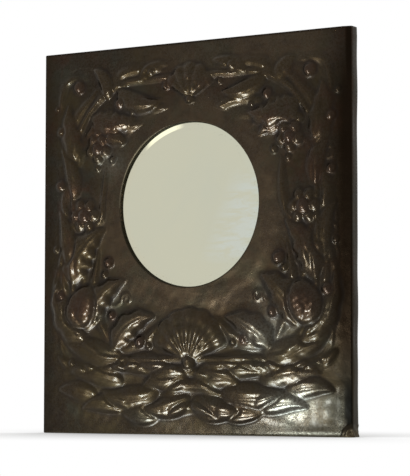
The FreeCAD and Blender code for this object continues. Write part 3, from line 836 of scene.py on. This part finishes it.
def copperMaterial(names):
    material, tree, shader = startMaterial("patinated copper")
    masks = {name: place(tree, "Attribute", attribute_name=name).outputs["Fac"] for name in names}
    spot = objectSpot(tree)
    x, _, z = place(tree, "SeparateXYZ", {0: spot}).outputs
    cloudy = patchy(tree, 9.0, 1.0, 0.38, 0.66)
    blotchy = patchy(tree, 38.0, 4.0, 0.42, 0.7)
    fine = noise(tree, spot, 420.0, 4.0, 0.6)
    clean = spread(tree, noise(tree, spot, 330.0, 3.0, 0.7), 0.34, 0.58, 0.25, 1.0)
    brassy = times(tree, masks["torn"], spread(tree, blotchy, 0.0, 0.8, 0.35, 1.0))
    upper = spread(tree, z, -0.2, 0.0, 0.25, 0.85)
    reddened = times(tree, patchy(tree, 17.0, 33.0, 0.46, 0.66), spread(tree, masks["ring"], 0, 0.6, 0.75, 0.15),
                     spread(tree, upper, 0.25, 0.85, 0.08, 1.0))
    # a duller, darker strip low down beside the right fold
    right = panelHigh[0]
    besideFold = times(tree, spread(tree, x, right - 15 * mm, right - 8 * mm),
                       spread(tree, x, right - 0.5 * mm, right - 2 * mm), spread(tree, z, -0.215, -0.25))
    colors = dict(copperColors)
    colors["ring"] = mixColor(tree, patchy(tree, 24.0, 9.0, 0.44, 0.66), colors["ring"], colors["greenRing"])
    colors["border"] = mixColor(tree, spread(tree, z, -0.25, -0.15), colors["lowBorder"], colors["border"])
    colors["border"] = mixColor(tree, besideFold, colors["border"], colors["besideFold"])
    # how strongly each colour is laid over the ones before it
    layers = {
        "verdigris": times(tree, patchy(tree, 13.0, 21.0, 0.48, 0.66), 0.6),
        "ring": masks["ring"],
        "blotch": times(tree, blotchy, 0.4),
        "lifted": times(tree, spread(tree, masks["lifted"], 0.02, 0.3), upper),
        "reddened": reddened,
        "boss": times(tree, masks["boss"], 0.8),
        "recess": spread(tree, masks["recess"], 0.15, 0.8, 0.0, 0.75),
        "border": times(tree, masks["border"], 0.95),
        "dull": masks["dull"],
        # the brighter spots: painted highlight, partly rubbed metal
        "rubbedAndPaintedHighlight": times(tree, masks["rubbedAndPaintedHighlight"], clean),
        # a painted highlight on the upper left of the opening's rim
        "rim": masks["rim"],
        "crest": times(tree, masks["crest"], spread(tree, fine, 0.35, 0.7, 0.1, 0.6), 0.5),
        "edge": wornEdges(tree, 1.0 * mm, 0.12),
        "torn": brassy,
    }
    color = mixColor(tree, cloudy, colors["brown"], colors["lightBrown"])
    for name, mask in layers.items():
        color = mixColor(tree, mask, color, colors[name])
    rough = plus(tree, spread(tree, brassy, 0, 1, 0.0, 0.25), spread(tree, cloudy, 0, 1, 0.23, 0.33),
                 spread(tree, masks["recess"], 0, 1, 0.0, 0.16), spread(tree, masks["dull"], 0, 1, 0.0, 0.4),
                 times(tree, besideFold, spread(tree, brassy, 0, 0.5, 0.32, 0.0)))
    uneven = {0: rough, 1: spread(tree, fine, 0.3, 0.7, -0.03, 0.05)}
    rough = place(tree, "Math", uneven, operation="ADD", use_clamp=True).outputs[0]
    # the wax coat, thin in the rubbed and painted-highlight spots, in hollows and where dirty
    coat = plus(tree, spread(tree, cloudy, 0, 1, 0.55, 0.35), spread(tree, masks["lifted"], 0.1, 0.6, 0.0, 0.2))
    coat = times(tree, coat, spread(tree, masks["rubbedAndPaintedHighlight"], 0.1, 0.6, 1.0, 0.45),
                 spread(tree, masks["recess"], 0.15, 0.8, 1.0, 0.12), clean,
                 spread(tree, masks["border"], 0.2, 0.9, 1.0, 0.03), spread(tree, brassy, 0, 1, 1.0, 0.2),
                 spread(tree, masks["dull"], 0, 1, 1.0, 0.0))
    hammered = noise(tree, spot, 130.0, 2.0)
    scratches = noise(tree, turned(tree, spot, (0, 0.5, 0), (900, 900, 60)), 1.0, 2.0)
    surface = plus(tree, hammered, times(tree, fine, 0.24), times(tree, scratches, 0.05))
    metal = spread(tree, masks["recess"], 0.2, 1.0, 0.95, 0.7)
    connect(tree, shader, {"Base Color": color, "Roughness": rough, "Metallic": metal, "Coat Weight": coat,
                           "Coat Roughness": 0.15, "Coat IOR": 1.45,
                           "Normal": bumps(tree, surface, 0.5, 0.35 * mm)})
    return material


buildSheet()


# the glass
glassPlan = {"bevelWidth": 24 * mm, "slope": 0.102, "easeShare": 0.3, "forward": 1.4 * mm, "rim": 2.5 * mm,
             "edgeEase": 0.3 * mm, "segments": 192}
smearPlan = {"lean": -0.4, "from": 52 * mm, "to": 90 * mm, "top": 62 * mm, "topFade": 20 * mm,
             "foot": -95 * mm, "footFade": -75 * mm, "streakTurn": radians(-24), "streakScale": (22, 1, 85)}


def mirrorMaterial():
    material, tree, shader = startMaterial("silvered glass")
    spot = objectSpot(tree)
    haze = patchy(tree, 6.0, 7.0, 0.4, 0.75)
    away = vectors(tree, "SUBTRACT", spot, (openingX, 0, openingZ))[0]
    x, _, z = place(tree, "SeparateXYZ", {0: away}).outputs
    radius = vectors(tree, "LENGTH", place(tree, "CombineXYZ", {0: x, 2: z}).outputs[0])["Value"]
    rim = spread(tree, radius, openingRadius - 14 * mm, openingRadius + 2 * mm)
    foxing = times(tree, rim, spread(tree, noise(tree, spot, 260.0, 5.0, 0.7), 0.58, 0.7))
    # a faint bluish wiping smear low on the right, in streaks
    plan = smearPlan
    streaks = noise(tree, turned(tree, away, (0, plan["streakTurn"], 0), plan["streakScale"]), 1.0, 4.0, 0.62, 0.6)
    leaning = plus(tree, x, times(tree, z, plan["lean"]))
    smear = times(tree, spread(tree, leaning, plan["from"], plan["to"]),
                  spread(tree, z, plan["top"], plan["topFade"]), spread(tree, z, plan["foot"], plan["footFade"]),
                  spread(tree, streaks, 0.4, 0.58, 0.05, 0.85))
    color = mixColor(tree, times(tree, haze, 0.6), (0.925, 0.935, 0.792), (0.87, 0.905, 0.8))
    color = mixColor(tree, smear, color, (0.93, 1.0, 0.98))
    color = mixColor(tree, foxing, color, (0.34, 0.31, 0.25))
    rough = plus(tree, spread(tree, haze, 0, 1, 0.012, 0.035), times(tree, smear, 0.04))
    connect(tree, shader, {"Base Color": color, "Roughness": rough, "Metallic": 1.0})
    return material


def glassProfile():
    # radius and depth from the face over the bevel, whose slope eases in so that the ridge is soft, to the back
    faceY, backY = glassLow[1] - glassPlan["forward"], glassHigh[1]
    edgeY, ease, slope = glassLow[1] + glassPlan["rim"], glassPlan["edgeEase"], glassPlan["slope"]
    flat = glassRadius - glassPlan["bevelWidth"]
    bent = glassPlan["easeShare"] * glassPlan["bevelWidth"]
    outer = openingRadius + leftEase + gauge / 2
    profile = [(flat * share, faceY) for share in (0.25, 0.5, 0.75, 0.92, 0.985)]
    for share in (0, 0.08, 0.16, 0.24, 0.32, 0.4, 0.55, 0.7, 0.85, 1):
        out = (outer - flat) * share
        profile.append((flat + out, faceY + slope * (out * out / (2 * bent) if out < bent else out - bent / 2)))
    # under the lip the glass steps back to the planks' rebate
    return profile + [(outer + ease, edgeY), (glassRadius - ease, edgeY), (glassRadius, edgeY + ease),
                      (glassRadius, backY - ease), (glassRadius - ease, backY), (glassRadius * 0.5, backY)]


def buildGlass():
    profile = glassProfile()
    turns = glassPlan["segments"]
    vertices = [(openingX, profile[0][1], openingZ)]
    for radius, deep in profile:
        for k in range(turns):
            angle = 2 * pi * k / turns
            vertices.append((openingX + radius * cos(angle), deep, openingZ + radius * sin(angle)))
    vertices.append((openingX, profile[-1][1], openingZ))
    last = 1 + (len(profile) - 1) * turns
    faces = []
    for k in range(turns):
        after = (k + 1) % turns
        faces.append((0, 1 + k, 1 + after))
        for a in range(1, last, turns):
            faces.append((a + k, a + turns + k, a + turns + after, a + after))
    faces += [(last + k, len(vertices) - 1, last + (k + 1) % turns) for k in range(turns)]
    mesh = bpy.data.meshes.new("mirrorGlass")
    mesh.from_pydata(vertices, [], faces)
    mesh.validate()
    piece = finishMesh("mirrorGlass", mesh, mirrorMaterial(), 20)
    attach(piece, "mirror")
    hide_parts("mirror_glass")
    print("glass bevelled")


buildGlass()


# wood, card and fittings behind
def buildPine():
    group, given, light = startGroup(
        "Pine Grain", {"Seed": 0.0, "Along": (1.0, 1.0, 0.08), "Turn": (0.0, 0.0, 0.0)}, "Light")
    shift = place(group, "CombineXYZ", {axis: given["Seed"] for axis in range(3)}).outputs[0]
    laid = turned(group, vectors(group, "ADD", objectSpot(group), shift)[0], given["Turn"])
    grainway = vectors(group, "MULTIPLY", laid, given["Along"])[0]
    waves = times(group, noise(group, grainway, 8.0, 2.0, 0.4), 240.0)
    rings = place(group, "Math", {0: waves}, operation="SINE").outputs[0]
    pores = times(group, noise(group, grainway, 420.0, 3.0, 0.6), 0.9)
    group.links.new(spread(group, plus(group, rings, pores), -0.7, 1.7), light)
    return group


pine = buildPine()
# dark and light colour of each plank
plankColors = [((0.165, 0.092, 0.042), (0.345, 0.215, 0.11)), ((0.19, 0.105, 0.048), (0.38, 0.24, 0.125)),
               ((0.15, 0.085, 0.04), (0.32, 0.2, 0.105)), ((0.18, 0.098, 0.044), (0.36, 0.22, 0.112))]
coverColors = ((0.215, 0.13, 0.065), (0.42, 0.285, 0.16))
blockColors = ((0.26, 0.165, 0.085), (0.48, 0.34, 0.19))


def scaled(color, share):
    return tuple(share * part for part in color)


def woodMaterial(name, seed, grainway, dark, light, turn=(0.0, 0.0, 0.0), grimeStrength=0.5):
    material, tree, shader = startMaterial(name)
    grain = shared(tree, pine, {"Seed": seed, "Along": grainway, "Turn": turn})
    grime = times(tree, patchy(tree, 11.0, seed, 0.42, 0.7), grimeStrength)
    color = mixColor(tree, grime, mixColor(tree, grain, dark, light), scaled(dark, 0.45))
    color = mixColor(tree, wornEdges(tree, 1.5 * mm, 0.6), color, scaled(light, 1.25))
    connect(tree, shader, {"Base Color": color, "Roughness": spread(tree, grain, 0, 1, 0.62, 0.78),
                           "Normal": bumps(tree, grain, 0.35, 0.25 * mm)})
    return material


def cardMaterial():
    material, tree, shader = startMaterial("grey card")
    fibre = noise(tree, objectSpot(tree), 900.0, 3.0)
    stain = times(tree, patchy(tree, 14.0, 3.0, 0.45, 0.75), 0.5)
    color = mixColor(tree, fibre, (0.3, 0.26, 0.2), (0.44, 0.39, 0.31))
    color = mixColor(tree, stain, color, (0.2, 0.15, 0.1))
    connect(tree, shader, {"Base Color": color, "Roughness": spread(tree, fibre, 0.3, 0.7, 0.85, 0.95),
                           "Normal": bumps(tree, fibre, 0.3, 0.1 * mm)})
    return material


def fittingMaterial(name, tarnished, bright, roughness, offset):
    material, tree, shader = startMaterial(name)
    tarnish = patchy(tree, 120.0, offset, 0.35, 0.65)
    fine = noise(tree, objectSpot(tree), 1400.0, 2.0)
    color = mixColor(tree, tarnish, tarnished, scaled(bright, 0.6))
    color = mixColor(tree, wornEdges(tree, 0.3 * mm, 1.0), color, bright)
    rough = plus(tree, spread(tree, tarnish, 0, 1, roughness + 0.14, roughness),
                 spread(tree, fine, 0.3, 0.7, -0.04, 0.04))
    connect(tree, shader, {"Base Color": color, "Roughness": rough, "Metallic": 1.0,
                           "Normal": bumps(tree, fine, 0.2, 0.05 * mm)})
    return material


def dress(name, material):
    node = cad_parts[name]
    if not node.material_slots:
        node.data.materials.append(material)
    for slot in node.material_slots:
        slot.link = "OBJECT"
        slot.material = material


def dressNodes():
    # the grain runs up every plank, across the cover and round the glass in the blocks
    across = (0.08, 1.0, 1.0)
    for number, colors in enumerate(plankColors, 1):
        wood = woodMaterial("pine plank %d" % number, 1.7 * number, (1.0, 1.0, 0.07), *colors)
        dress("core_plank_%d" % number, wood)
    dress("back_cover", woodMaterial("cover board", 12.0, (0.07, 1.0, 1.0), *coverColors, grimeStrength=0.35))
    for number in range(1, 9):
        lean = (0.0, radians(-45 * (number - 0.5)), 0.0)
        wood = woodMaterial("pine block %d" % number, 20.0 + number, across, *blockColors, turn=lean)
        dress("glazing_block_%d" % number, wood)
    dress("packing_card", cardMaterial())
    brass = fittingMaterial("tarnished brass", (0.15, 0.098, 0.04), (0.56, 0.4, 0.17), 0.34, 2.0)
    for name in ("hanger_straps", "hanger_ring_left", "hanger_ring_right"):
        dress(name, brass)
    print("wood, card and fittings dressed")


dressNodes()

# screws and tacks
steel = fittingMaterial("dull steel", (0.11, 0.1, 0.092), (0.42, 0.405, 0.385), 0.38, 5.0)
copperNail = fittingMaterial("copper tack", (0.06, 0.036, 0.024), (0.3, 0.165, 0.1), 0.4, 8.0)
strapScrew = {"headRadius": 3.2 * mm, "headHeight": 1.3 * mm, "shankRadius": 1.5 * mm, "slotWidth": 0.8 * mm,
              "slotDepth": 0.6 * mm}
coverScrew = {"headRadius": 3.6 * mm, "headHeight": 0.9 * mm, "slotWidth": 0.9 * mm, "slotDepth": 0.5 * mm,
              "inset": 12 * mm, "perSide": 3, "sunkShare": 0.25}
tackPlan = {"radius": 2.6 * mm, "height": 1.3 * mm, "apart": 62 * mm, "inset": 9 * mm, "offLine": 0.8,
            "profile": ((1.0, -0.15), (0.97, 0.25), (0.8, 0.62), (0.5, 0.9)), "sides": 12}


def circle(work, x, y, z, radius, sides):
    turns = [2 * pi * k / sides for k in range(sides)]
    return [work.verts.new((x + radius * cos(turn), y, z + radius * sin(turn))) for turn in turns]


def joinRings(work, a, b):
    for k in range(len(a)):
        work.faces.new((a[k - 1], a[k], b[k], b[k - 1]))


def slottedHead(work, x, back, z, plan, turn):
    # a domed head in strips along its slot; the two middle strips are sunk to the slot's floor
    radius, height, half = plan["headRadius"], plan["headHeight"], plan["slotWidth"] / plan["headRadius"] / 2
    beside = [(-0.99, 0), (-0.85, 0), (-0.6, 0), (-0.35, 0), (-half, 0), (-half, 1)]
    rows = []
    for v, sunk in beside + [(-v, sunk) for v, sunk in beside[::-1]]:
        reach = sqrt(1 - v * v)
        row = []
        for k in range(11):
            u = reach * cos(pi * k / 10)
            top = height * (0.4 + 0.6 * sqrt(max(0, 1 - u * u - v * v)))
            top = min(top, height - plan["slotDepth"]) if sunk else top
            row.append(work.verts.new((x + radius * (u * cos(turn) - v * sin(turn)), back + top,
                                       z + radius * (u * sin(turn) + v * cos(turn)))))
        rows.append(row)
    for a, b in zip(rows, rows[1:]):
        for k in range(10):
            work.faces.new((a[k], a[k + 1], b[k + 1], b[k]))
    rim = rows[0] + [row[-1] for row in rows[1:-1]] + rows[-1][::-1] + [row[0] for row in rows[-2:0:-1]]
    foot = [work.verts.new((vertex.co.x, back, vertex.co.z)) for vertex in rim]
    joinRings(work, rim, foot)
    work.faces.new(foot)


def finishPiece(work, name, material):
    bmesh.ops.remove_doubles(work, verts=work.verts, dist=1e-6)
    bmesh.ops.dissolve_degenerate(work, edges=work.edges, dist=1e-6)
    bmesh.ops.recalc_face_normals(work, faces=work.faces)
    mesh = bpy.data.meshes.new(name)
    work.to_mesh(mesh)
    work.free()
    piece = finishMesh(name, mesh, material, 40)
    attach(piece, "mirror")
    return piece


def buildStrapScrews():
    low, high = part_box("hanger_screws")
    radius, seat = strapScrew["headRadius"], high[1] - strapScrew["headHeight"]
    z = (low[2] + high[2]) / 2
    work = bmesh.new()
    for number, x in enumerate((low[0] + radius, high[0] - radius)):
        slottedHead(work, x, seat, z, strapScrew, 0.5 + 1.9 * number)
        ends = [circle(work, x, y, z, strapScrew["shankRadius"], 14) for y in (low[1], seat)]
        joinRings(work, *ends)
        for end in ends:
            work.faces.new(end)
    piece = finishPiece(work, "strapScrews", steel)
    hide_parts("hanger_screws")


def buildCoverScrews():
    # countersunk heads round the cover's edge, sunk so that they stand a little proud of the board
    work = bmesh.new()
    reachX, reachZ = ((coverHigh[axis] - coverLow[axis]) / 2 - coverScrew["inset"] for axis in (0, 2))
    seat = coverHigh[1] - coverScrew["sunkShare"] * coverScrew["headHeight"]
    chance = np.random.default_rng(7)
    count = coverScrew["perSide"] - 1
    for k in range(count):
        share = -1 + 2 * k / count
        for x, z in ((share, -1), (1, share), (-share, 1), (-1, -share)):
            spot = openingX + x * reachX, seat, openingZ + z * reachZ
            slottedHead(work, *spot, coverScrew, chance.uniform(0, pi))
    piece = finishPiece(work, "coverScrews", steel)


def buildTacks():
    # domed tacks through the turned-over edge, at even steps, a little off line as hand work is
    work = bmesh.new()
    chance = np.random.default_rng(4)
    reachX, reachZ = halfWidth - tackPlan["inset"], halfHeight - tackPlan["inset"]
    places = []
    for half, other, upright in ((reachX, reachZ, False), (reachZ, reachX, True)):
        count = round(2 * half / tackPlan["apart"])
        for k in range(count):
            step = -half + 2 * half * (k + 0.5) / count
            for side in (-1, 1):
                places.append((side * other, step) if upright else (step, side * other))
    back, height, offLine = sheetPlan["back"], tackPlan["height"], tackPlan["offLine"]
    for x, z in places:
        x, z = x + chance.uniform(-offLine, offLine) * mm, z + chance.uniform(-offLine, offLine) * mm
        rows = [circle(work, x, back + height * up, z, tackPlan["radius"] * share, tackPlan["sides"])
                for share, up in tackPlan["profile"]]
        for a, b in zip(rows, rows[1:]):
            joinRings(work, a, b)
        work.faces.new(rows[0])
        crown = work.verts.new((x, back + height, z))
        for k in range(tackPlan["sides"]):
            work.faces.new((rows[-1][k - 1], rows[-1][k], crown))
    piece = finishPiece(work, "flangeTacks", copperNail)


buildStrapScrews()
buildCoverScrews()
buildTacks()
print("fittings and tacks made")

# floor, background and light
stagePlan = {"reach": 4, "shadeReach": 0.46, "backdrop": (1, 1, 1, 1), "ambient": (1.0, 0.985, 0.96, 1),
             "ambientStrength": 0.6, "floorColor": (0.8, 0.8, 0.78, 1)}
# how open the floor is above each place, and the grey of painted shadow it then shows
floorShadowTones = [(0.4, (0.25, 0.245, 0.24)), (0.58, (0.53, 0.525, 0.52)), (0.78, (0.76, 0.76, 0.755)),
              (0.97, (1, 1, 1))]
# what the metal and glass mirror: the room to the left, the room to the right and a bright pane
roomColors = {"left": (0.612, 0.585, 0.528), "right": (0.6, 0.6, 0.56), "pane": (1.2, 1.16, 0.98)}
paneDirection = (-0.6226, -0.739, 0.2579)
paneEdge = {1: 0.9974, 2: 0.9996}  # cosines where its soft edge starts and where it glows in full


def ramp(tree, factor, stops):
    node = place(tree, "ValToRGB", {"Fac": factor})
    elements = node.color_ramp.elements
    while len(elements) < len(stops):
        elements.new(0.5)
    for element, (position, color) in zip(elements, stops):
        element.position = position
        element.color = (*color, 1)
    return node.outputs[0]


def bareTree(owner):
    owner.use_nodes = True
    owner.node_tree.nodes.clear()
    return owner.node_tree


def mixShaders(tree, factor, a, b):
    return place(tree, "MixShader", {0: factor, 1: a.outputs[0], 2: b.outputs[0]})


def buildStage():
    reach, low = stagePlan["reach"], panelLow[2]
    mesh = bpy.data.meshes.new("floor")
    corners = [(-reach, -reach, low), (reach, -reach, low), (reach, reach, low), (-reach, reach, low)]
    mesh.from_pydata(corners, [], [(0, 1, 2, 3)])
    floor = addToScene("floor", mesh)
    material = bpy.data.materials.new("pale floor")
    tree = bareTree(material)
    # to the camera the floor shows a painted shadow: an ambient-occlusion grey given off as emission
    openness = place(tree, "AmbientOcclusion", {"Distance": stagePlan["shadeReach"]}, samples=16).outputs["AO"]
    paintedShadowGlow = place(tree, "Emission", {"Color": ramp(tree, openness, floorShadowTones)})
    lit = place(tree, "BsdfDiffuse", {"Color": stagePlan["floorColor"]})
    mix = mixShaders(tree, place(tree, "LightPath").outputs["Is Camera Ray"], lit, paintedShadowGlow)
    place(tree, "OutputMaterial", {0: mix.outputs[0]})
    mesh.materials.append(material)
    floor.visible_shadow = False
    floor.visible_glossy = False


def buildWorld():
    world = bpy.data.worlds.new("studio")
    bpy.context.scene.world = world
    tree = bareTree(world)
    rays = place(tree, "LightPath").outputs
    way = place(tree, "TexCoord").outputs["Generated"]
    across = place(tree, "SeparateXYZ", {0: way}).outputs[0]
    room = mixColor(tree, spread(tree, across, -0.75, -0.35), roomColors["left"], roomColors["right"])
    toPane = vectors(tree, "DOT_PRODUCT", way, paneDirection)["Value"]
    glow = place(tree, "MapRange", {0: toPane, **paneEdge}, interpolation_type="SMOOTHSTEP").outputs[0]
    glossy = place(tree, "Background", {"Color": mixColor(tree, glow, room, roomColors["pane"]), "Strength": 1.0})
    plain = place(tree, "Background", {"Color": stagePlan["ambient"], "Strength": stagePlan["ambientStrength"]})
    backdrop = place(tree, "Background", {"Color": stagePlan["backdrop"], "Strength": 1.0})
    surroundings = mixShaders(tree, rays["Is Glossy Ray"], plain, glossy)
    whole = mixShaders(tree, rays["Is Camera Ray"], surroundings, backdrop)
    place(tree, "OutputWorld", {0: whole.outputs[0]})


# name, place, aim, width, height, power, colour
softboxes = [("low key", (-0.475, -1.05, -0.95), (0, 0, -0.05), 0.4, 0.26, 12.5, (0.87, 0.98, 1.0)),
             ("front left", (-0.628, -1.35, -0.312), (0.2, 0, -0.26), 0.12, 0.11, 4.8, (0.95, 1, 0.93))]


def hangSoftboxes():
    for name, where, aim, width, height, power, color in softboxes:
        lamp = bpy.data.lights.new(name, "AREA")
        lamp.shape, lamp.size, lamp.size_y = "RECTANGLE", width, height
        lamp.energy, lamp.color = power, color
        box = addToScene(name, lamp)
        lookAt(box, where, aim)
        box.visible_camera = False


buildStage()
buildWorld()
hangSoftboxes()
print("floor, background and light set")

bpy.context.scene.view_settings.view_transform = "Standard"
